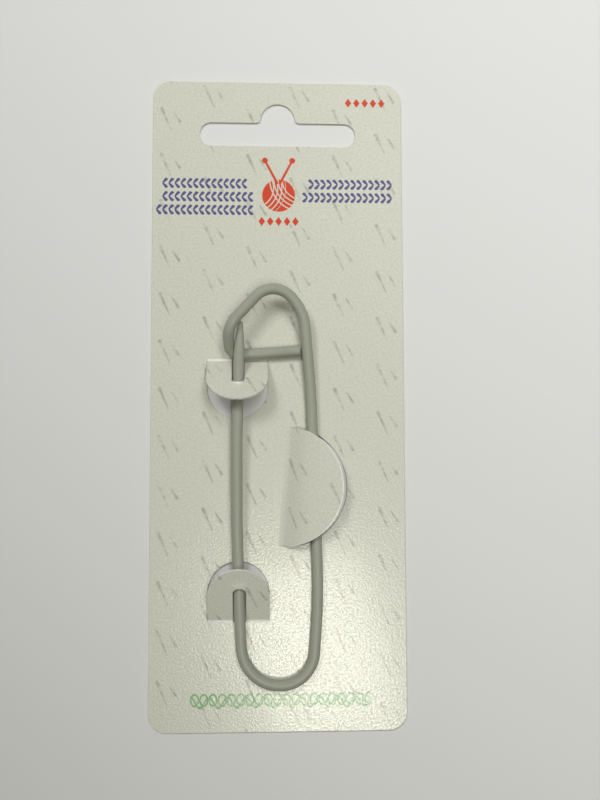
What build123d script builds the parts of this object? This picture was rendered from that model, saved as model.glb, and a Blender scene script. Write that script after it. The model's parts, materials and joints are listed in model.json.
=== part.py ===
from build123d import *
from math import asin, atan, atan2, cos, degrees, radians, sin, sqrt, tan
import os

# A stitch holder on its hang card. The holder is one length of coated wire, bent like a long
# safety pin: a pointed needle, a round bend, a back leg, an arch, and a hook whose end crosses
# behind the needle as a short bar. The card is one piece of board with three tabs cut in it:
# two with slits that the needle is threaded through, and a D-shaped one folded over the leg.
#
# Millimetres. The card lies on its back: X across it, Y up it towards the hanging hole, +Z out
# of its printed face. The origin is the centre of the card's back.

# Card
card_width = 51.0
card_length = 131.0
board = 0.45
card_corner = 3.6

# Hanging hole: a slot with a round hump in its upper edge
hang_width = 32.0
hang_height = 4.9
hang_drop = 10.95
hump_radius = 3.55
hump_rise = 4.0
hump_fillet = 0.9

# Gaps: wire over board, ball in cup, needle over bar, board at a crease, board at a cut edge
seat_gap = 0.03
knuckle_gap = 0.03
point_gap = 0.35
crease_gap = 0.04
cut_gap = 0.05
slit_gap = 0.3

# Wire
wire_diameter = 2.2
needle_root_x = -7.35
needle_root_y = -47.5
needle_tip_x = -7.5
needle_tip_y = 15.25
needle_bow = 0.77
taper_length = 6.4
tip_diameter = 1.0

# Corners that the rest of the wire is bent round, from the needle's root to the bar's end
bend_bottom_y = -56.3
bend_left_x = -6.75
bend_right_x = 6.65
leg_low = (7.95, -39.5)
leg_high = (6.6, 1.0)
arch_right = (5.1, 17.5)
arch_left = (-1.0, 23.8)
hook_front = (-9.95, 13.9)
hook_back = (-9.6, 8.7)
bar_end = (4.45, 9.7)
arch_lift_share = (0.41, 0.78)
hook_gap = 0.4

# Bend radii of the wire's centre line
bend_left_radius = 7.6
bend_right_radius = 6.6
leg_low_radius = 120.0
leg_high_radius = 60.0
arch_right_radius = 9.8
arch_left_radius = 5.0
hook_front_radius = 4.4
hook_back_radius = 2.3

# Threaded tabs: one die cuts both, and each is folded up about its crease
tab_width = 12.3
tab_length = 11.6
tab_offset = -0.2
upper_crease_y = 7.75
lower_crease_y = -43.9
upper_angle = 44.5
lower_angle = 25.0

# Side tab: a D cut in the board, folded up over the back leg
flap_radius = 11.9
flap_reach = 12.65
flap_crease_x = 1.235
flap_crease_y = -17.46
flap_tilt = 4.07
flap_gap = 0.06
flap_brow = 1.2
flap_brow_radius = 5.0
flap_droop = 4.0


# Heights of the wire's centre line
wire_radius = wire_diameter / 2
tip_radius = tip_diameter / 2
rest_z = board + seat_gap + wire_radius
crossing_z = rest_z + wire_diameter + point_gap
needle_slope = (crossing_z - rest_z) / (hook_back[1] - needle_root_y)
needle_length_y = needle_tip_y - needle_root_y


def needle_z(y):
    """Height of the needle's centre line, which rises from the board to pass over the bar."""
    return rest_z + needle_slope * (y - needle_root_y)


def needle_x(y):
    """Place of the needle's centre line, which is bowed a little outwards."""
    t = (y - needle_root_y) / needle_length_y
    return needle_root_x + (needle_tip_x - needle_root_x) * t - 4 * needle_bow * t * (1 - t)


hook_z = needle_z(needle_tip_y) + tip_radius + wire_radius + hook_gap


def arch_z(share):
    """Height of a corner of the arch, part of the way up from the leg to the hook."""
    return rest_z + share * (hook_z - rest_z)


# ---------------------------------------------------------------- needle
needle_root = Vector(needle_root_x, needle_root_y, rest_z)
needle_tip = Vector(needle_tip_x, needle_tip_y, needle_z(needle_tip_y))
needle_mid_y = (needle_root_y + needle_tip_y) / 2
needle_mid = Vector(needle_x(needle_mid_y), needle_mid_y, needle_z(needle_mid_y))

with BuildPart() as needle_wire:
    with BuildLine(mode=Mode.PRIVATE) as needle_line:
        needle_arc = ThreePointArc(needle_root, needle_mid, needle_tip)
    taper_start = 1 - taper_length / needle_arc.length
    dome_start = 1 - tip_radius / needle_arc.length
    with BuildLine():
        add(needle_arc.trim(0, taper_start))
    with BuildSketch(Plane(needle_arc.location_at(0))):
        Circle(wire_radius)
    sweep()
    with BuildSketch(Plane(needle_arc.location_at(taper_start))):
        Circle(wire_radius)
    with BuildSketch(Plane(needle_arc.location_at(dome_start))):
        Circle(tip_radius)
    loft()
    with Locations(needle_arc.position_at(dome_start)):
        Sphere(tip_radius)
    with Locations(needle_root):
        Sphere(wire_radius)

# ---------------------------------------------------------------- bow
bow_corners = [
    needle_root,
    (bend_left_x, bend_bottom_y, rest_z),
    (bend_right_x, bend_bottom_y, rest_z),
    (*leg_low, rest_z),
    (*leg_high, rest_z),
    (*arch_right, arch_z(arch_lift_share[0])),
    (*arch_left, arch_z(arch_lift_share[1])),
    (*hook_front, hook_z),
    (*hook_back, rest_z),
    (*bar_end, rest_z),
]
bow_radii = [
    bend_left_radius,
    bend_right_radius,
    leg_low_radius,
    leg_high_radius,
    arch_right_radius,
    arch_left_radius,
    hook_front_radius,
    hook_back_radius,
]

with BuildPart() as bow_wire:
    with BuildLine():
        bow_route = FilletPolyline(*bow_corners, radius=bow_radii)
    with BuildSketch(Plane(bow_route.location_at(0))):
        Circle(wire_radius)
    sweep()
    with Locations(needle_root):
        Sphere(wire_radius + knuckle_gap, mode=Mode.SUBTRACT)

# ---------------------------------------------------------------- threaded tabs
slit_width = wire_diameter + 2 * slit_gap


def slit_end(crease_y, angle, direction):
    """How far up a tab its slit runs, so that the needle passes through at the tab's angle."""
    lean = radians(angle)
    height = needle_z(crease_y) - board / 2 + wire_radius
    pierced = height / (sin(lean) - direction * needle_slope * cos(lean))
    through_board = board / 2 / tan(lean - direction * atan(needle_slope))
    return pierced + through_board + seat_gap


def crossing_y(crease_y, angle, direction):
    """Where the needle's centre line passes through a tab."""
    lean = radians(angle)
    height = needle_z(crease_y) - board / 2
    return crease_y + direction * height / tan(lean)


def threaded_tab(crease_y, angle, direction):
    """A tab folded up about its crease, with a slit for the needle from the crease outwards."""
    lean = radians(angle)
    slit_x = needle_x(crossing_y(crease_y, angle, direction))
    centre_x = slit_x + tab_offset
    end_radius = tab_width / 2 - cut_gap
    straight = tab_length - tab_width / 2
    reach = slit_end(crease_y, angle, direction)
    plane = Plane(
        origin=(centre_x, crease_y, board / 2),
        x_dir=(1, 0, 0),
        z_dir=(0, -direction * sin(lean), cos(lean)),
    )
    with BuildPart() as tab:
        with BuildSketch(plane):
            with Locations((0, direction * straight)):
                Circle(end_radius)
            with Locations((0, direction * straight / 2)):
                Rectangle(2 * end_radius, straight)
            with Locations((0, direction * tab_length / 2)):
                Rectangle(2 * end_radius, tab_length, mode=Mode.INTERSECT)
        extrude(amount=board / 2, both=True)
        with BuildSketch(Plane(origin=plane.origin, x_dir=(0, 1, 0), z_dir=(1, 0, 0))):
            Circle(board / 2)
        extrude(amount=end_radius, both=True)
        with BuildSketch(plane):
            slit_from = -board
            with Locations((-tab_offset, direction * (slit_from + reach - slit_width / 2) / 2)):
                Rectangle(slit_width, reach - slit_width / 2 - slit_from)
            with Locations((-tab_offset, direction * (reach - slit_width / 2))):
                Circle(slit_width / 2)
        extrude(amount=board, both=True, mode=Mode.SUBTRACT)
    return tab


upper_tab = threaded_tab(upper_crease_y, upper_angle, -1)
lower_tab = threaded_tab(lower_crease_y, lower_angle, 1)

# ---------------------------------------------------------------- side tab
tilt = radians(flap_tilt)
along_crease = Vector(sin(tilt), cos(tilt), 0)
from_crease = Vector(cos(tilt), -sin(tilt), 0)
crease_middle = Vector(flap_crease_x, flap_crease_y, board / 2)
flap_plane = Plane(origin=crease_middle, x_dir=from_crease, z_dir=(0, 0, 1))

# The leg runs straight between its two corners. It comes nearest to the crease where it goes
# in under the tab's upper edge, and the tab is folded up until it clears the wire there.
leg_lean = (leg_low[0] - leg_high[0]) / (leg_high[1] - leg_low[1])
leg_entry_y = flap_crease_y + flap_radius
leg_entry_x = leg_high[0] + leg_lean * (leg_high[1] - leg_entry_y)
crease_entry_x = flap_crease_x + (leg_entry_y - flap_crease_y) * tan(tilt)
leg_distance = (leg_entry_x - crease_entry_x) * cos(tilt)
leg_height = rest_z - board / 2
flap_angle = atan2(leg_height, leg_distance) + asin(
    (wire_radius + board / 2 + flap_gap) / sqrt(leg_distance**2 + leg_height**2)
)
brow = leg_distance + flap_brow
brow_rise = brow * tan(flap_angle)
outer_length = flap_reach - brow / cos(flap_angle)
folded_reach = brow + outer_length * cos(radians(flap_droop))
spare = 1.0
outer_end = folded_reach + spare
outer_rise = brow_rise + (outer_end - brow) * tan(radians(flap_droop))
fold_share = folded_reach / flap_reach

with BuildPart() as side_tab:
    with BuildSketch(Plane(origin=crease_middle, x_dir=from_crease, z_dir=-along_crease)):
        with BuildLine():
            FilletPolyline((0, 0), (brow, brow_rise), (outer_end, outer_rise), radius=flap_brow_radius)
        trace(line_width=board)
        Circle(board / 2)
    extrude(amount=flap_radius + spare, both=True)
    with BuildSketch(flap_plane):
        with Locations(((flap_reach - flap_radius) * fold_share, 0)):
            Ellipse(flap_radius * fold_share - cut_gap, flap_radius - cut_gap)
        with Locations((flap_radius / 2 - board / 2, 0)):
            Rectangle(flap_radius + board, 2 * flap_radius, mode=Mode.INTERSECT)
    extrude(amount=flap_radius, both=True, mode=Mode.INTERSECT)

# ---------------------------------------------------------------- card
crease_room = board / 2 + crease_gap


def tab_window(crease_y, angle, direction):
    """The hole that a threaded tab is cut from, with room for the tab's root to turn in."""
    centre_x = needle_x(crossing_y(crease_y, angle, direction)) + tab_offset
    straight = tab_length - tab_width / 2
    with BuildSketch() as window:
        with Locations((centre_x, crease_y + direction * straight)):
            Circle(tab_width / 2)
        with Locations((centre_x, crease_y + direction * (straight - crease_room) / 2)):
            Rectangle(tab_width, straight + crease_room)
        with Locations((centre_x, crease_y + direction * (tab_length - crease_room) / 2)):
            Rectangle(tab_width, tab_length + crease_room, mode=Mode.INTERSECT)
    return window.sketch


upper_window = tab_window(upper_crease_y, upper_angle, -1)
lower_window = tab_window(lower_crease_y, lower_angle, 1)

hang_y = card_length / 2 - hang_drop
hump_y = hang_y + hang_height / 2 + hump_rise - hump_radius
with BuildSketch() as hang_hole:
    with Locations((0, hang_y)):
        SlotOverall(hang_width, hang_height)
    with Locations((0, hump_y)):
        Circle(hump_radius)
    hump_corners = hang_hole.vertices().filter_by(lambda v: abs(v.X) < hump_radius + board)
    fillet(hump_corners, hump_fillet)

with BuildSketch(flap_plane.offset(-board / 2)) as flap_window:
    with Locations((flap_reach - flap_radius, 0)):
        Circle(flap_radius)
    with Locations((flap_radius - crease_room, 0)):
        Rectangle(2 * flap_radius, 2 * flap_radius, mode=Mode.INTERSECT)

with BuildPart() as backing_card:
    with BuildSketch():
        RectangleRounded(card_width, card_length, card_corner)
        add(hang_hole.sketch, mode=Mode.SUBTRACT)
        add(flap_window.sketch, mode=Mode.SUBTRACT)
        add(upper_window, mode=Mode.SUBTRACT)
        add(lower_window, mode=Mode.SUBTRACT)
    extrude(amount=board)

# ---------------------------------------------------------------- files
os.makedirs("parts", exist_ok=True)
backing_card.part.label = "backing_card"
export_step(backing_card.part, "parts/backing_card.step")
upper_tab.part.label = "upper_tab"
export_step(upper_tab.part, "parts/upper_tab.step")
lower_tab.part.label = "lower_tab"
export_step(lower_tab.part, "parts/lower_tab.step")
side_tab.part.label = "side_tab"
export_step(side_tab.part, "parts/side_tab.step")
needle_wire.part.label = "needle_wire"
export_step(needle_wire.part, "parts/needle_wire.step")
bow_wire.part.label = "bow_wire"
export_step(bow_wire.part, "parts/bow_wire.step")

print("wire rests at", round(rest_z, 3), "and the needle's tip is at", round(needle_tip.Z, 3))
print("hook height", round(hook_z, 3), "side tab angle", round(degrees(flap_angle), 2))
print("slit ends", round(slit_end(upper_crease_y, upper_angle, -1), 2),
      round(slit_end(lower_crease_y, lower_angle, 1), 2))
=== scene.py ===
import json
from math import ceil, cos, exp, pi, radians, sin, sqrt, tan

import bpy
from mathutils import Matrix, Vector

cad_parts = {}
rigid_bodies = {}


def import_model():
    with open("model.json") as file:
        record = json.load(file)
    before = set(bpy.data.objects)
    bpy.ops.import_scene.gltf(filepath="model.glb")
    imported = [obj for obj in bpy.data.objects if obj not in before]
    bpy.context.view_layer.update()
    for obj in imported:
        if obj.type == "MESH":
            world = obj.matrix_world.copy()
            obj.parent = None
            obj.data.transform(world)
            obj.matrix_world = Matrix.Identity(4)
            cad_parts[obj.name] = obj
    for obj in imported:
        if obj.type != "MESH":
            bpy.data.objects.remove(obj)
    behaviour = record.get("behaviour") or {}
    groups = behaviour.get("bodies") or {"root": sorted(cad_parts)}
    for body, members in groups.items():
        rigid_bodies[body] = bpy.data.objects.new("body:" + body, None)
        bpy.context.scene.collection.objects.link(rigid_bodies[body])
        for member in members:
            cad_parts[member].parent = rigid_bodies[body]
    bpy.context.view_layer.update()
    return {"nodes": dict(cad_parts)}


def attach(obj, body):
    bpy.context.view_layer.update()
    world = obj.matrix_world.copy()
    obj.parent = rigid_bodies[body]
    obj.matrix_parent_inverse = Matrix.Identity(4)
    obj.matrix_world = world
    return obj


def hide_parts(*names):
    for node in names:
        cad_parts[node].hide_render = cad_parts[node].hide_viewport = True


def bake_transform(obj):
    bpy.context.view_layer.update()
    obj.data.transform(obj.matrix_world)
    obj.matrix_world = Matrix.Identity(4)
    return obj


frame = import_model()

# A stitch holder on its hang card. One coated wire is bent into a needle, a round bend, a back
# leg, an arch and a hook. The printed card has two tabs that the needle is threaded through and
# a round side tab folded over the leg. X runs across the card, Y up it to the hanging hole, and Z
# out of its face. The pieces and their print are drawn in millimetres, and each piece is brought
# to metres by MM as it is made. The lamps are placed in metres.
MM = 0.001

BOARD = 0.45
BOARD_MIDDLE = BOARD / 2
CUT_GAP = 0.05  # what the die takes off each side of a tab
CUT_ROUND = 0.05
CREASE_ROOM = BOARD / 2 + 0.04  # how far a crease's soft bend reaches to each side
BOARD_SMOOTH = radians(35)
PRINTED_FACE, CUT_EDGE, BACK_FACE = range(3)

TAB_WIDTH = 12.3
TAB_LENGTH = 11.6

WIRE_RADIUS = 1.1
WIRE_REST = 1.58  # the wire's middle, wherever it lies along the card
HOOK_HEIGHT = 6.427
SHORTEST_STEP = 0.02  # rings closer than this are left as one
NEEDLE_ROOT = Vector((-7.35, -47.5, WIRE_REST))
NEEDLE_TIP = Vector((-7.5, 15.25, 4.427))
LEG_LOW = Vector((7.95, -39.5, WIRE_REST))
LEG_HIGH = Vector((6.6, 1.0, WIRE_REST))
SEAM_Y = -17.46  # level with the middle of the side tab


# ------------------------------------------------------------------ at the bench
def put_down():
    """Leaves nothing selected, so that the next tool touches only its own piece."""
    for thing in bpy.context.view_layer.objects:
        thing.select_set(False)


def pick_up(piece):
    put_down()
    piece.select_set(True)
    bpy.context.view_layer.objects.active = piece


def open_mesh(piece):
    """Opens a mesh for work, with all of it picked."""
    pick_up(piece)
    bpy.ops.object.mode_set(mode="EDIT")
    bpy.ops.mesh.select_mode(type="VERT")
    bpy.ops.mesh.select_all(action="SELECT")


def close_mesh():
    bpy.ops.object.mode_set(mode="OBJECT")


def fix_modifiers(piece):
    pick_up(piece)
    for modifier in list(piece.modifiers):
        bpy.ops.object.modifier_apply(modifier=modifier.name)


def face_up(sheet):
    """Turns a sheet over if its printed side is underneath."""
    if sum(face.normal.z for face in sheet.data.polygons) < 0:
        open_mesh(sheet)
        bpy.ops.mesh.flip_normals()
        close_mesh()


def soften_cuts(piece):
    """Rounds the board's cut edges a hair."""
    bevel = piece.modifiers.new("soft_cut", "BEVEL")
    bevel.width = CUT_ROUND * MM
    bevel.segments = 2
    bevel.limit_method = "ANGLE"
    bevel.angle_limit = radians(60)


def thicken(sheet):
    """Gives a folded sheet the board's thickness: printed face, plain back and white cut edge."""
    wall = sheet.modifiers.new("board", "SOLIDIFY")
    wall.thickness = BOARD * MM
    wall.offset = 0.0
    wall.material_offset = BACK_FACE
    wall.material_offset_rim = CUT_EDGE
    soften_cuts(sheet)
    return sheet


def note(piece, name, values, kind="FLOAT_VECTOR"):
    """Writes one value or vector to each point, for a material to read."""
    layer = piece.data.attributes.new(name, kind, "POINT")
    for item, value in zip(layer.data, values):
        if kind == "FLOAT_VECTOR":
            item.vector = value
        else:
            item.value = value


# ------------------------------------------------------------------ wire
def wire_ring(name, place, heading, around=28):
    """The wire's first ring, facing along the wire, ready to be drawn on."""
    put_down()
    bpy.ops.mesh.primitive_circle_add(
        vertices=around, radius=WIRE_RADIUS * MM, location=place * MM,
        rotation=heading.to_track_quat("Z", "Y").to_euler())
    wire = bpy.context.object
    wire.name = wire.data.name = name
    bpy.ops.object.transform_apply(location=True, rotation=True, scale=True)
    open_mesh(wire)
    return wire


def pull(step):
    """Draws the open end of the wire on by one step."""
    bpy.ops.mesh.extrude_region_move(TRANSFORM_OT_translate={"value": step * MM})


def narrow(share, place):
    """Draws the open end in to this share of its width."""
    bpy.ops.transform.resize(value=(share, share, share), center_override=place * MM)


def bend_wire(corners, radii, turn_step=7.5):
    """Draws the wire along straight runs and turns it round a former at each corner."""
    here = corners[0]
    for corner, following, radius in zip(corners[1:-1], corners[2:], radii):
        into = (corner - here).normalized()
        out = (following - corner).normalized()
        turn = into.angle(out)
        reach = radius * tan(turn / 2)
        axis = into.cross(out).normalized()
        bend_start = corner - into * reach
        former = bend_start + axis.cross(into) * radius
        pull(bend_start - here)
        bpy.ops.mesh.spin(steps=max(3, ceil(turn / radians(turn_step))), angle=-turn,
                          center=former * MM, axis=axis)
        here = corner + out * reach
    return here


def finish_wire(wire):
    """Closes both ends and smooths the wire's round side."""
    bpy.ops.mesh.select_all(action="DESELECT")
    bpy.ops.mesh.select_non_manifold()
    bpy.ops.mesh.edge_face_add()
    bpy.ops.mesh.select_all(action="SELECT")
    bpy.ops.mesh.remove_doubles(threshold=1e-7)
    bpy.ops.mesh.normals_make_consistent(inside=False)
    close_mesh()
    pick_up(wire)
    bpy.ops.object.shade_smooth_by_angle(angle=radians(40))
    return wire


# The two lengths of the wire meet on the leg, under the side tab.
leg_seam = LEG_LOW.lerp(LEG_HIGH, (SEAM_Y - LEG_LOW.y) / (LEG_HIGH.y - LEG_LOW.y))

BAR_END = Vector((4.45, 9.7, WIRE_REST))
hook_corners = [leg_seam, LEG_HIGH,
                Vector((5.1, 17.5, 3.567)), Vector((-1.0, 23.8, 5.361)),  # the arch
                Vector((-9.95, 13.9, HOOK_HEIGHT)), Vector((-9.6, 8.7, WIRE_REST)),  # the hook
                BAR_END]
hook_radii = [60.0, 9.8, 5.0, 4.4, 2.3]
leg_and_hook = wire_ring("leg_and_hook", leg_seam, LEG_HIGH - leg_seam)
bar_start = bend_wire(hook_corners, hook_radii)
along_bar = (BAR_END - bar_start).normalized()

# The bar's cut end is rounded off in two steps.
end_room, first_step, second_step = 0.09, 0.6, 0.4
pull(BAR_END - along_bar * end_room - bar_start)
pull(along_bar * end_room * first_step)
narrow(0.975, BAR_END - along_bar * end_room * second_step)
pull(along_bar * end_room * second_step)
narrow(0.95, BAR_END)
finish_wire(leg_and_hook)

needle_corners = [leg_seam, LEG_LOW,
                  Vector((6.65, -56.3, WIRE_REST)), Vector((-6.75, -56.3, WIRE_REST)),  # the bend
                  NEEDLE_ROOT, Vector((-8.705, -16.125, 3.0035)), NEEDLE_TIP]
needle_radii = [120.0, 6.6, 7.6, 60.0, 614.0]
bend_and_needle = wire_ring("bend_and_needle", leg_seam, LEG_LOW - leg_seam)
here = bend_wire(needle_corners, needle_radii, turn_step=5.0)

# The point is drawn on ring by ring: each ring's distance from the tip, and its radius.
along_needle = (NEEDLE_TIP - here).normalized()
point_rings = [(6.4, 1.1), (5.1, 1.02), (3.85, 0.87), (2.15, 0.72), (1.1, 0.6), (0.5, 0.5),
               (0.29, 0.453), (0.13, 0.335), (0.035, 0.18)]
ring_radius = WIRE_RADIUS
for from_tip, radius in point_rings:
    ring_place = NEEDLE_TIP - along_needle * from_tip
    if (ring_place - here).dot(along_needle) > SHORTEST_STEP:
        pull(ring_place - here)
        here = ring_place
    narrow(radius / ring_radius, here)
    ring_radius = radius
pull(NEEDLE_TIP - here)
bpy.ops.mesh.merge(type="CENTER")
finish_wire(bend_and_needle)


# ------------------------------------------------------------------ printed card
def printed_card():
    """The card's own solid, merged, with its cut edges rounded a hair."""
    mesh = frame["nodes"]["backing_card"].data.copy()
    mesh.name = "printed_card"
    mesh.materials.clear()
    card = bpy.data.objects.new("printed_card", mesh)
    bpy.context.scene.collection.objects.link(card)
    open_mesh(card)
    bpy.ops.mesh.remove_doubles(threshold=1e-6)
    bpy.ops.mesh.dissolve_limited(angle_limit=radians(0.5))
    close_mesh()
    soften_cuts(card)
    fix_modifiers(card)
    bpy.ops.object.shade_smooth_by_angle(angle=BOARD_SMOOTH)
    return card


card = printed_card()


# ------------------------------------------------------------------ threaded tabs
def fold(along, angle, room):
    """Reach and rise of a point of the board that lies this far along it from a soft crease."""
    radius = room / tan(angle / 2)
    half = radius * angle / 2
    if along <= -half:
        return along + half - room, 0.0
    if along < half:
        turned = (along + half) / radius
        return radius * sin(turned) - room, radius * (1 - cos(turned))
    return (radius * sin(angle) - room + (along - half) * cos(angle),
            radius * (1 - cos(angle)) + (along - half) * sin(angle))


def tab_grid(name, columns, rows):
    """A flat grid from -1 to 1 each way, to be laid out as a tab."""
    put_down()
    bpy.ops.mesh.primitive_grid_add(x_subdivisions=columns, y_subdivisions=rows, size=2.0)
    sheet = bpy.context.object
    sheet.name = sheet.data.name = name
    return sheet


def threaded_tab(name, crease, angle, direction, slit, bump, torn_paper_and_highlight):
    """A tab cut on three sides and folded up about its crease, with the needle's slit in it.

    The crease is given by its middle, and the slit by its place across, its length from the crease
    and half its width. The bump is how far the wire has lifted the board at the slit's end, and
    torn_paper_and_highlight how much bare paper shows there, partly as a painted highlight.
    """
    crease_x, crease_y = crease
    slit_x, slit_end, slit_half = slit
    end_radius = TAB_WIDTH / 2 - CUT_GAP
    straight = TAB_LENGTH - TAB_WIDTH / 2
    lean = radians(angle)
    root, past_crease, clear_of_slit, columns = -CREASE_ROOM, 1.2, 0.12, 16
    slit_bend = slit_end - slit_half
    stations = [root + (past_crease - root) * i / 9 for i in range(9)]
    stations += [past_crease + (slit_bend - past_crease) * i / 10 for i in range(10)]
    stations += [slit_bend + slit_half * sin(radians(a)) for a in range(0, 91, 15)]
    round_end = [straight + end_radius * sin(radians(a)) for a in range(0, 91, 3)]
    stations += [along for along in round_end if along > slit_end + clear_of_slit]

    def half_width(along):
        if along <= straight:
            return end_radius
        return sqrt(max(0.0, end_radius ** 2 - (along - straight) ** 2))

    def slit_half_width(along):
        if along <= slit_bend:
            return slit_half
        return sqrt(max(0.0, slit_half ** 2 - (along - slit_bend) ** 2))

    halves = []
    for side in (-1, 1):
        half = tab_grid(name, columns, len(stations) - 1)
        for point in half.data.vertices:
            share = (point.co.x + 1) / 2
            row = round((point.co.y + 1) / 2 * (len(stations) - 1))
            along = stations[row]
            inner = slit_x + side * slit_half_width(along)
            outer = crease_x + side * half_width(along)
            if side * (outer - inner) < 0:
                inner = outer
            across = inner + (outer - inner) * (share if side > 0 else 1 - share)
            point.co = (across * MM, (crease_y + direction * along) * MM, 0)
        halves.append(half)
    pick_up(halves[0])
    halves[1].select_set(True)
    bpy.ops.object.join()
    tab = halves[0]
    open_mesh(tab)
    bpy.ops.mesh.remove_doubles(threshold=2e-6)
    bpy.ops.mesh.normals_make_consistent(inside=False)
    close_mesh()
    note(tab, "flat", [point.co / MM for point in tab.data.vertices])
    wear_and_highlight = []
    for point in tab.data.vertices:
        across, along = point.co.x / MM, (point.co.y / MM - crease_y) * direction
        reach, rise = fold(along, lean, CREASE_ROOM)
        past_slit, aside = along - slit_end, across - slit_x
        lifted = bump * exp(-((past_slit - 0.1) / 0.9) ** 2 - (aside / 1.3) ** 2)
        # A pale line along the crease, partly rubbed ink and partly a painted highlight on the
        # fold, and a pale patch past the slit's end, partly torn paper and partly a painted
        # highlight
        crease_rub_and_highlight = exp(-((along + 0.03) / 0.3) ** 2)
        torn_and_highlight = torn_paper_and_highlight * exp(-((past_slit - 0.15) / 0.3) ** 2 - (aside / 0.8) ** 2)
        wear_and_highlight.append(max(crease_rub_and_highlight, torn_and_highlight))
        point.co = (across * MM,
                    (crease_y + direction * reach - direction * lifted * sin(lean)) * MM,
                    (BOARD_MIDDLE + rise + lifted * cos(lean)) * MM)
    note(tab, "wear_and_highlight", wear_and_highlight, "FLOAT")
    face_up(tab)
    return thicken(tab)


upper_tab = threaded_tab("upper_tab_board", crease=(-8.13, 7.75), angle=44.5, direction=-1,
                         slit=(-7.95, 7.08, 1.28), bump=0.3, torn_paper_and_highlight=0.9)
lower_tab = threaded_tab("lower_tab_board", crease=(-7.85, -43.9), angle=25.0, direction=1,
                         slit=(-7.63, 7.5, 1.33), bump=0.25, torn_paper_and_highlight=0.0)


# ------------------------------------------------------------------ side tab
FLAP_CREASE = Vector((1.235, -17.46, 0))
FLAP_TILT = radians(4.07)
FLAP_RADIUS = 11.9
FLAP_REACH = 12.65
FLAP_STRAIGHT = 3.0
FLAP_RISE = radians(36.6)
FLAP_END = radians(9.0)
FLAP_CURVE = 9.5


def flap_profile(along):
    """Reach and rise of the side tab's middle: up from the crease, over the leg, nearly level."""
    shift, soft = 0.4, 0.66
    reach, rise = fold(min(along, FLAP_STRAIGHT) - shift, FLAP_RISE, soft)
    reach += shift
    if along <= FLAP_STRAIGHT:
        return reach, rise
    curved = along - FLAP_STRAIGHT
    slope = max(FLAP_END, FLAP_RISE - curved / FLAP_CURVE)
    beyond = max(0.0, curved - FLAP_CURVE * (FLAP_RISE - FLAP_END))
    return (reach + FLAP_CURVE * (sin(FLAP_RISE) - sin(slope)) + beyond * cos(slope),
            rise + FLAP_CURVE * (cos(slope) - cos(FLAP_RISE)) + beyond * sin(slope))


def side_tab_board():
    """The D-shaped tab, laid out flat from its crease and then folded over the leg."""
    along_crease = Vector((sin(FLAP_TILT), cos(FLAP_TILT), 0))
    from_crease = Vector((cos(FLAP_TILT), -sin(FLAP_TILT), 0))
    rows, columns = 60, 44
    flap = tab_grid("side_tab_board", columns, rows)
    flat, wear_and_highlight = [], []
    for point in flap.data.vertices:
        turned = point.co.y * pi / 2
        down = (FLAP_RADIUS - CUT_GAP) * sin(turned)
        full = (FLAP_REACH - FLAP_RADIUS - CUT_GAP
                + sqrt(max(0.0, FLAP_RADIUS ** 2 - down ** 2)))
        share = (point.co.x + 1) / 2
        along = -CREASE_ROOM + (full + CREASE_ROOM) * share
        reach, rise = flap_profile(along)
        flat.append(FLAP_CREASE + from_crease * along + along_crease * down)
        wear_and_highlight.append(1.0 if share > 0.999 else 0.0)  # the ink is rubbed off the round edge
        place = FLAP_CREASE + from_crease * reach + along_crease * down
        point.co = (place.x * MM, place.y * MM, (BOARD_MIDDLE + rise) * MM)
    note(flap, "flat", flat)
    note(flap, "wear_and_highlight", wear_and_highlight, "FLOAT")
    face_up(flap)
    return thicken(flap)


side_tab = side_tab_board()


# ------------------------------------------------------------------ table
put_down()
bpy.ops.mesh.primitive_plane_add(size=2.4, location=(0, 0, -0.05 * MM))
table_top = bpy.context.object
table_top.name = table_top.data.name = "table_top"


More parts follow.
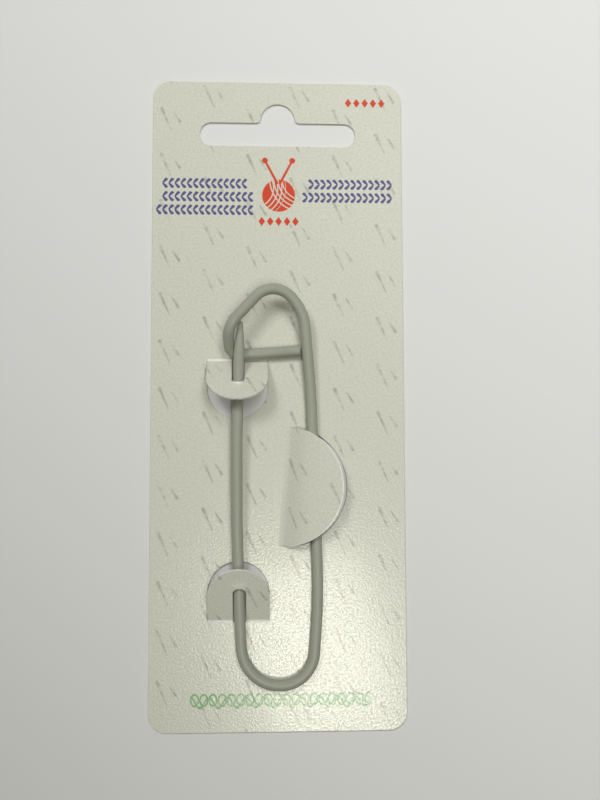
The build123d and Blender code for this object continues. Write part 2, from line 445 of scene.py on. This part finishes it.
# ------------------------------------------------------------------ finishes
class Finish:
    """A material, or a shared effect, being put together node by node."""

    def __init__(self, name, shared=False):
        if shared:
            self.tree = bpy.data.node_groups.new(name, "ShaderNodeTree")
            self.given = self.tree.nodes.new("NodeGroupInput")
            self.result = self.tree.nodes.new("NodeGroupOutput")
        else:
            self.material = bpy.data.materials.new(name)
            self.material.use_nodes = True
            self.tree = self.material.node_tree
            self.surface = self.tree.nodes["Principled BSDF"]

    def takes(self, name, kind="NodeSocketFloat", start=None):
        socket = self.tree.interface.new_socket(name, in_out="INPUT", socket_type=kind)
        if start is not None:
            socket.default_value = start

    def gives(self, name, value, kind="NodeSocketFloat"):
        self.tree.interface.new_socket(name, in_out="OUTPUT", socket_type=kind)
        self.tree.links.new(value, self.result.inputs[name])

    def add(self, kind, **settings):
        node = self.tree.nodes.new(kind)
        for setting, value in settings.items():
            setattr(node, setting, value)
        return node

    def feed(self, node, **values):
        for name, value in values.items():
            self.put(node.inputs[name.replace("_", " ")], value)
        return node

    def put(self, socket, value):
        if isinstance(value, bpy.types.NodeSocket):
            self.tree.links.new(value, socket)
        else:
            socket.default_value = value

    def sum(self, operation, *values, held=False):
        node = self.add("ShaderNodeMath", operation=operation, use_clamp=held)
        for socket, value in zip(node.inputs, values):
            self.put(socket, value)
        return node.outputs[0]

    def vector(self, operation, *values):
        node = self.add("ShaderNodeVectorMath", operation=operation)
        for socket, value in zip(node.inputs, values):
            self.put(socket, value)
        plain = operation in ("LENGTH", "DOT_PRODUCT", "DISTANCE")
        return node.outputs["Value" if plain else "Vector"]

    def scaled(self, vector, share):
        node = self.add("ShaderNodeVectorMath", operation="SCALE")
        self.put(node.inputs[0], vector)
        self.put(node.inputs["Scale"], share)
        return node.outputs[0]

    def parts(self, place):
        """How far across and how far up the card a place is."""
        node = self.add("ShaderNodeSeparateXYZ")
        self.put(node.inputs[0], place)
        return node.outputs["X"], node.outputs["Y"]

    def point(self, x, y):
        return self.feed(self.add("ShaderNodeCombineXYZ"), X=x, Y=y).outputs[0]

    def edge(self, distance, soft=0.05):
        """1 inside a shape and 0 outside it, from the distance to its outline."""
        node = self.add("ShaderNodeMapRange", interpolation_type="SMOOTHSTEP")
        self.put(node.inputs["Value"], distance)
        node.inputs["From Min"].default_value = soft
        node.inputs["From Max"].default_value = -soft
        return node.outputs[0]

    def between(self, value, low, high, low_to=0.0, high_to=1.0):
        """Brings a value from the range low to high into the range low_to to high_to."""
        node = self.add("ShaderNodeMapRange")
        self.feed(node, Value=value, From_Min=low, From_Max=high, To_Min=low_to, To_Max=high_to)
        return node.outputs[0]

    def mix(self, share, first, second):
        """Mixes two colours. The node's colour sockets come after those for plain numbers."""
        node = self.add("ShaderNodeMix", data_type="RGBA")
        share_in, first_in, second_in, colour_out = 0, 6, 7, 2
        self.put(node.inputs[share_in], share)
        self.put(node.inputs[first_in], first)
        self.put(node.inputs[second_in], second)
        return node.outputs[colour_out]

    def noise(self, place, scale, detail=2.0, rough=0.5):
        node = self.add("ShaderNodeTexNoise")
        self.feed(node, Vector=place, Scale=scale, Detail=detail, Roughness=rough)
        return node.outputs["Fac"]

    def shared(self, group, **values):
        node = self.add("ShaderNodeGroup", node_tree=group)
        self.feed(node, **values)
        return node.outputs

    def bump(self, height, strength, distance):
        node = self.add("ShaderNodeBump")
        self.feed(node, Height=height, Strength=strength, Distance=distance)
        self.put(self.surface.inputs["Normal"], node.outputs["Normal"])


def srgb(red, green, blue):
    """A colour as it is seen, brought to the plain numbers that a shader takes."""
    def plain(level):
        level /= 255
        return level / 12.92 if level <= 0.04045 else ((level + 0.055) / 1.055) ** 2.4
    return plain(red), plain(green), plain(blue), 1.0


# A stroke of ink: the distance from a short line whose width grows from one end to the other
stroke = Finish("stroke", shared=True)
stroke.takes("Place", "NodeSocketVector")
stroke.takes("Start", "NodeSocketVector")
stroke.takes("End", "NodeSocketVector")
stroke.takes("Start Width", start=0.2)
stroke.takes("End Width", start=0.2)
given = stroke.given.outputs
offset = stroke.vector("SUBTRACT", given["Place"], given["Start"])
run = stroke.vector("SUBTRACT", given["End"], given["Start"])
share = stroke.sum("DIVIDE", stroke.vector("DOT_PRODUCT", offset, run),
                   stroke.vector("DOT_PRODUCT", run, run), held=True)
away = stroke.vector("LENGTH", stroke.vector("SUBTRACT", offset, stroke.scaled(run, share)))
width = stroke.between(share, 0.0, 1.0, given["Start Width"], given["End Width"])
stroke.gives("Distance", stroke.sum("SUBTRACT", away, width))
STROKE = stroke.tree

# The clear varnish stitches scattered over the whole board, every other column half a step down
VARNISH_ACROSS, VARNISH_UP = 8.8, 9.6
scatter = Finish("varnish_stitches", shared=True)
scatter.takes("Place", "NodeSocketVector")
x, y = scatter.parts(scatter.given.outputs["Place"])
column = scatter.sum("FLOOR", scatter.sum("DIVIDE", x, VARNISH_ACROSS))
column_middle = scatter.sum("MULTIPLY", scatter.sum("ADD", column, 0.5), VARNISH_ACROSS)
odd = scatter.sum("MODULO", scatter.sum("ABSOLUTE", column), 2.0)
dropped = scatter.sum("ADD", y, scatter.sum("MULTIPLY", odd, VARNISH_UP / 2))
line = scatter.sum("FLOOR", scatter.sum("DIVIDE", dropped, VARNISH_UP))
line_middle = scatter.sum("MULTIPLY", scatter.sum("ADD", line, 0.5), VARNISH_UP)
local = scatter.point(scatter.sum("SUBTRACT", x, column_middle),
                      scatter.sum("SUBTRACT", dropped, line_middle))
long_stitch = scatter.shared(STROKE, Place=local, Start=(-1.75, 2.1, 0), End=(0.15, -2.2, 0),
                             Start_Width=0.34, End_Width=0.1)["Distance"]
short_stitch = scatter.shared(STROKE, Place=local, Start=(0.7, 1.35, 0), End=(1.95, -0.6, 0),
                              Start_Width=0.1, End_Width=0.3)["Distance"]
scatter.gives("Mask", scatter.edge(scatter.sum("MINIMUM", long_stitch, short_stitch), soft=0.16))
VARNISH = scatter.tree


def stitched_rows(finish, place):
    """Plaits of chain stitch: three rows on the left of the card's head and two on the right."""
    row_step, stitch_step, lowest, right_lowest, half_height = 2.75, 1.24, 37.325, 40.05, 4.1
    x, y = finish.parts(place)
    from_middle = finish.sum("ABSOLUTE", x)
    rows = finish.sum("DIVIDE", finish.sum("SUBTRACT", y, lowest), row_step)
    row = finish.sum("FLOOR", rows)
    within = finish.sum("SUBTRACT", finish.sum("SUBTRACT", rows, row), 0.5)
    within = finish.sum("ABSOLUTE", finish.sum("MULTIPLY", within, row_step))
    cell = finish.sum("FRACT", finish.sum("DIVIDE", from_middle, stitch_step))
    cell = finish.point(finish.sum("SUBTRACT", cell, 0.5), within)
    mark = finish.shared(STROKE, Place=cell, Start=(0.3, 0.13, 0), End=(-0.16, 0.76, 0),
                         Start_Width=0.16, End_Width=0.29)["Distance"]
    top_row = finish.sum("GREATER_THAN", row, 1.5)
    upper_rows = finish.sum("GREATER_THAN", row, 0.5)
    inner = finish.sum("MULTIPLY_ADD", top_row, stitch_step, 4 * stitch_step)
    outer = finish.sum("MULTIPLY_ADD", upper_rows, -stitch_step, 20 * stitch_step)
    from_rows = finish.sum("ABSOLUTE", finish.sum("SUBTRACT", y, lowest + 1.5 * row_step))
    for limit in (finish.sum("SUBTRACT", inner, from_middle),
                  finish.sum("SUBTRACT", from_middle, outer),
                  finish.sum("SUBTRACT", from_rows, half_height),
                  finish.sum("MINIMUM", x, finish.sum("SUBTRACT", right_lowest, y))):
        mark = finish.sum("MAXIMUM", mark, limit)
    return finish.edge(mark)


def yarn_ball(finish, place):
    """A wound ball of yarn with two knobbed needles standing in it."""
    ball_middle, ball_radius, needle_end, knob_radius = (0.18, 41.8, 0), 3.4, (2.8, 7.3, 0), 0.6
    half_strand, half_turn, half_band = 0.12, 0.42, 1.5
    ball = finish.vector("SUBTRACT", place, ball_middle)
    wound = finish.sum("SUBTRACT", finish.vector("LENGTH", ball), ball_radius)
    for turn, shift in (((-5.2, 1.6, 0), 5.2), ((4.9, 3.4, 0), 5.6)):
        ring = finish.vector("DISTANCE", ball, turn)
        strand = finish.sum("SUBTRACT", half_strand, finish.sum("PINGPONG", ring, half_turn))
        aside = finish.sum("ABSOLUTE", finish.sum("SUBTRACT", ring, shift))
        band = finish.sum("SUBTRACT", half_band, aside)
        wound = finish.sum("MAXIMUM", wound, finish.sum("MINIMUM", strand, band))
    x, y = finish.parts(ball)
    folded = finish.point(finish.sum("ABSOLUTE", x), y)
    needle = finish.shared(STROKE, Place=folded, Start=(0.3, 2.6, 0), End=needle_end,
                           Start_Width=0.27, End_Width=0.22)["Distance"]
    knob = finish.sum("SUBTRACT", finish.vector("DISTANCE", folded, needle_end), knob_radius)
    return finish.edge(finish.sum("MINIMUM", wound, finish.sum("MINIMUM", needle, knob)))


def diamond_rows(finish, place):
    """Five small diamonds at the card's top right, and five more under the ball."""
    x, y = finish.parts(place)
    under_ball, to_top_row, between_rows = (0.17, 36.4), (17.85, 25.05), 50.0
    half_step, half_row, flatness, half_diamond = 0.86, 4.3, 0.72, 0.68
    top = finish.sum("GREATER_THAN", y, between_rows)
    row_x, row_y = (finish.sum("MULTIPLY_ADD", top, shift, start)
                    for shift, start in zip(to_top_row, under_ball))
    across = finish.sum("ABSOLUTE", finish.sum("SUBTRACT", x, row_x))
    up = finish.sum("ABSOLUTE", finish.sum("SUBTRACT", y, row_y))
    away = finish.sum("ADD", finish.sum("PINGPONG", across, half_step),
                      finish.sum("MULTIPLY", up, flatness))
    diamond = finish.sum("SUBTRACT", away, half_diamond)
    return finish.edge(finish.sum("MAXIMUM", diamond, finish.sum("SUBTRACT", across, half_row)))


def looped_yarn(finish, place):
    """One line of yarn that loops its way across the foot of the card."""
    x, y = finish.parts(place)
    line_y, left_end, half_wave, loop_radius, half_yarn = -59.75, -17.3, 1.805, 0.75, 0.15
    line_middle, half_line, wave_turn, wave_slope = 0.45, 17.75, 1.74, 0.55
    low = finish.sum("SUBTRACT", y, line_y)
    wave = finish.sum("SINE", finish.sum("MULTIPLY", x, wave_turn))
    yarn = finish.sum("ABSOLUTE", finish.sum("SUBTRACT", low, wave))
    yarn = finish.sum("MULTIPLY", yarn, wave_slope)
    across = finish.sum("PINGPONG", finish.sum("SUBTRACT", x, left_end), half_wave)
    loop = finish.vector("LENGTH", finish.point(
        finish.sum("SUBTRACT", across, 0.9),
        finish.sum("MULTIPLY", finish.sum("SUBTRACT", low, 0.5), 0.7)))
    loop = finish.sum("ABSOLUTE", finish.sum("SUBTRACT", loop, loop_radius))
    yarn = finish.sum("SUBTRACT", finish.sum("MINIMUM", yarn, loop), half_yarn)
    from_middle = finish.sum("ABSOLUTE", finish.sum("SUBTRACT", x, line_middle))
    ends = finish.sum("SUBTRACT", from_middle, half_line)
    return finish.edge(finish.sum("MAXIMUM", yarn, ends))


PEARL_DARK, PEARL_LIGHT = srgb(198, 199, 184), srgb(210, 211, 196)
VARNISHED, BARE_PAPER_AND_HIGHLIGHT = srgb(170, 169, 158), srgb(246, 245, 236)
GREEN_INK, INDIGO_INK, RED_INK = srgb(100, 160, 90), srgb(75, 70, 130), srgb(205, 75, 50)


def printed_board():
    """Pearl-coated board: satin, finely flaked, with clear varnish stitches and three inks."""
    finish = Finish("pearl_printed_board")
    flat = finish.add("ShaderNodeAttribute", attribute_name="flat").outputs["Vector"]
    wear_and_highlight = finish.add("ShaderNodeAttribute", attribute_name="wear_and_highlight").outputs["Fac"]
    grain = finish.noise(flat, scale=2.3, detail=1.5, rough=0.6)
    varnish = finish.shared(VARNISH, Place=flat)["Mask"]
    colour = finish.mix(finish.between(grain, 0.35, 0.65), PEARL_DARK, PEARL_LIGHT)
    patchy = finish.between(finish.noise(flat, 0.8), 0.35, 0.62, 0.15, 1.0)
    colour = finish.mix(finish.sum("MULTIPLY", varnish, patchy), colour, VARNISHED)
    green = finish.sum("MULTIPLY", looped_yarn(finish, flat), 0.82)
    colour = finish.mix(green, colour, GREEN_INK)
    indigo = finish.sum("MULTIPLY", stitched_rows(finish, flat), 0.92)
    colour = finish.mix(indigo, colour, INDIGO_INK)
    red = finish.sum("MAXIMUM", yarn_ball(finish, flat), diamond_rows(finish, flat))
    colour = finish.mix(red, colour, RED_INK)
    # Bare paper white where the ink is rubbed off; along the tab creases and at the upper slit's
    # end it also stands for a painted highlight
    scuffs = finish.between(finish.noise(flat, 0.5), 0.3, 0.45, 0.35, 1.0)
    colour = finish.mix(finish.sum("MULTIPLY", wear_and_highlight, scuffs, held=True), colour, BARE_PAPER_AND_HIGHLIGHT)
    finish.feed(finish.surface, Base_Color=colour,
                Roughness=finish.between(grain, 0.3, 0.7, 0.24, 0.12),
                Coat_Weight=finish.between(grain, 0.38, 0.62, 0.12, 0.48),
                Coat_Roughness=0.12, Specular_IOR_Level=0.45)
    height = finish.sum("ADD", grain, finish.sum("MULTIPLY", varnish, 0.15))
    finish.bump(height, strength=1.0, distance=0.000042)
    return finish.material


def bare_board(name, scale, detail, dark, light, roughness, strength):
    """Board with no print on it, only its own faint fibre."""
    finish = Finish(name)
    place = finish.add("ShaderNodeTexCoord").outputs["Object"]
    fibre = finish.noise(place, scale, detail)
    finish.feed(finish.surface, Base_Color=finish.mix(fibre, dark, light), Roughness=roughness)
    finish.bump(fibre, strength, distance=0.00003)
    return finish.material


def coated_wire():
    """Grey-green satin coating, clouded a little, with a fine grain."""
    finish = Finish("satin_grey_coating")
    place = finish.add("ShaderNodeTexCoord").outputs["Object"]
    cloud = finish.noise(place, scale=220.0, detail=3.0)
    fine = finish.noise(place, scale=2600.0, detail=2.0)
    finish.feed(finish.surface,
                Base_Color=finish.mix(cloud, srgb(150, 153, 137), srgb(158, 160, 145)),
                Roughness=finish.between(cloud, 0.3, 0.7, 0.36, 0.46))
    finish.bump(fine, strength=0.15, distance=0.00002)
    return finish.material


def table_finish():
    finish = Finish("pale_table")
    finish.feed(finish.surface, Base_Color=srgb(213, 213, 211), Roughness=0.9,
                Specular_IOR_Level=0.2)
    return finish.material


PRINTED, COATED = printed_board(), coated_wire()
CORE = bare_board("white_board_core", 3000.0, 3.0, srgb(214, 214, 203), srgb(232, 232, 224),
                  roughness=0.8, strength=0.3)
BACK = bare_board("plain_board_back", 900.0, 4.0, srgb(196, 196, 188), srgb(212, 212, 204),
                  roughness=0.75, strength=0.25)
table_top.data.materials.append(table_finish())
for wire in (leg_and_hook, bend_and_needle):
    wire.data.materials.append(COATED)
for piece in (card, upper_tab, lower_tab, side_tab):
    for material in (PRINTED, CORE, BACK):
        piece.data.materials.append(material)
for piece in (upper_tab, lower_tab, side_tab):
    fix_modifiers(piece)
    bpy.ops.object.shade_smooth_by_angle(angle=BOARD_SMOOTH)
for face in card.data.polygons:
    up = face.normal.z
    face.material_index = PRINTED_FACE if up > 0.9 else BACK_FACE if up < -0.9 else CUT_EDGE
    face.use_smooth = abs(up) < 0.99
note(card, "flat", [point.co / MM for point in card.data.vertices])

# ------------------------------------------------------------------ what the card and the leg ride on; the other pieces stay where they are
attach(card, "card")
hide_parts("backing_card")

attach(leg_and_hook, "bow")
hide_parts("bow_wire")

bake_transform(bend_and_needle)
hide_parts("needle_wire")

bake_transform(upper_tab)
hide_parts("upper_tab")

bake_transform(lower_tab)
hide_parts("lower_tab")

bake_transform(side_tab)
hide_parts("side_tab")


# ------------------------------------------------------------------ light
def soft_box(name, place, width, depth, level):
    """A soft box. Level is its share of the light that shows a colour as it is written."""
    lamp = bpy.data.lights.new(name, "AREA")
    lamp.shape = "RECTANGLE"
    lamp.size, lamp.size_y = width, depth
    return hang_lamp(name, lamp, place, (0, 0, 0), level * pi ** 2)


def soft_spot(name, place, aim, wide, edge, size, level):
    """A lamp whose pool of light fades out softly at its rim."""
    lamp = bpy.data.lights.new(name, "SPOT")
    lamp.spot_size = radians(wide)
    lamp.spot_blend = edge
    lamp.shadow_soft_size = size
    return hang_lamp(name, lamp, place, aim, level * 4 * pi ** 2)


def hang_lamp(name, lamp, place, aim, power):
    """Hangs a lamp up and aims it, stronger the further off and the lower it hangs."""
    stand = bpy.data.objects.new(name, lamp)
    bpy.context.scene.collection.objects.link(stand)
    place, aim = Vector(place), Vector(aim)
    stand.location = place
    stand.rotation_euler = (aim - place).to_track_quat("-Z", "Y").to_euler()
    lamp.energy = power * place.length_squared / place.normalized().z
    return stand


# Each window light's place, the middle of its pool, how wide it opens in degrees, how soft its
# pool's rim is, how large the lamp is and how strong.
window_lights = [
    soft_spot("window_light", (0.22, 0.25, 0.70), (0.434, 0.375, 0), 101.8, 0.227, 0.16, 0.37),
    soft_spot("high_window_light", (0.15, 0.45, 0.62), (0.291, 0.322, 0), 79.4, 0.257, 0.12, 0.18),
    soft_spot("left_window_light", (-0.30, 0.35, 0.65), (0.20, 0.40, 0), 90, 0.25, 0.12, 0.30)]
for window_light in window_lights:
    window_light.visible_glossy = False
overhead_glow = soft_box("overhead_glow", (0.050, -0.18, 0.60), width=0.11, depth=0.17, level=0.20)
overhead_glow.data.color = (1.0, 0.98, 0.86)

# The room: a faint even light on everything, and a pale ground wherever the camera sees past it
room = bpy.data.worlds.new("room")
bpy.context.scene.world = room
room.use_nodes = True
room_nodes, room_links = room.node_tree.nodes, room.node_tree.links
sky = room_nodes["Background"]
sky.inputs["Color"].default_value = (0.98, 0.99, 1.0, 1.0)
sky.inputs["Strength"].default_value = 0.10
seen = room_nodes.new("ShaderNodeBackground")
seen.inputs["Color"].default_value = srgb(216, 216, 214)
pick = room_nodes.new("ShaderNodeMixShader")
ray = room_nodes.new("ShaderNodeLightPath")
room_links.new(ray.outputs["Is Camera Ray"], pick.inputs[0])
room_links.new(sky.outputs[0], pick.inputs[1])
room_links.new(seen.outputs[0], pick.inputs[2])
room_links.new(pick.outputs[0], room_nodes["World Output"].inputs["Surface"])

bpy.context.scene.view_settings.view_transform = "Standard"

# ------------------------------------------------------------------ camera
camera_data = bpy.data.cameras.new("camera")
camera_data.lens = 40.5
camera_data.sensor_width = 36.0
camera_data.clip_start = 0.005
camera_data.clip_end = 20.0
camera = bpy.data.objects.new("camera", camera_data)
bpy.context.scene.collection.objects.link(camera)
CAMERA_PLACE = Vector((-3.9, -13.0, 181.35))
looking = Vector((0.046, 0.0707, -0.9964)).normalized()
upward = Vector((-0.0006, 0.9975, 0.0707))
sideways = looking.cross(upward).normalized()
upward = sideways.cross(looking)
aimed = Matrix((sideways, upward, -looking)).transposed().to_4x4()
camera.matrix_world = Matrix.Translation(CAMERA_PLACE * MM) @ aimed
bpy.context.scene.camera = camera
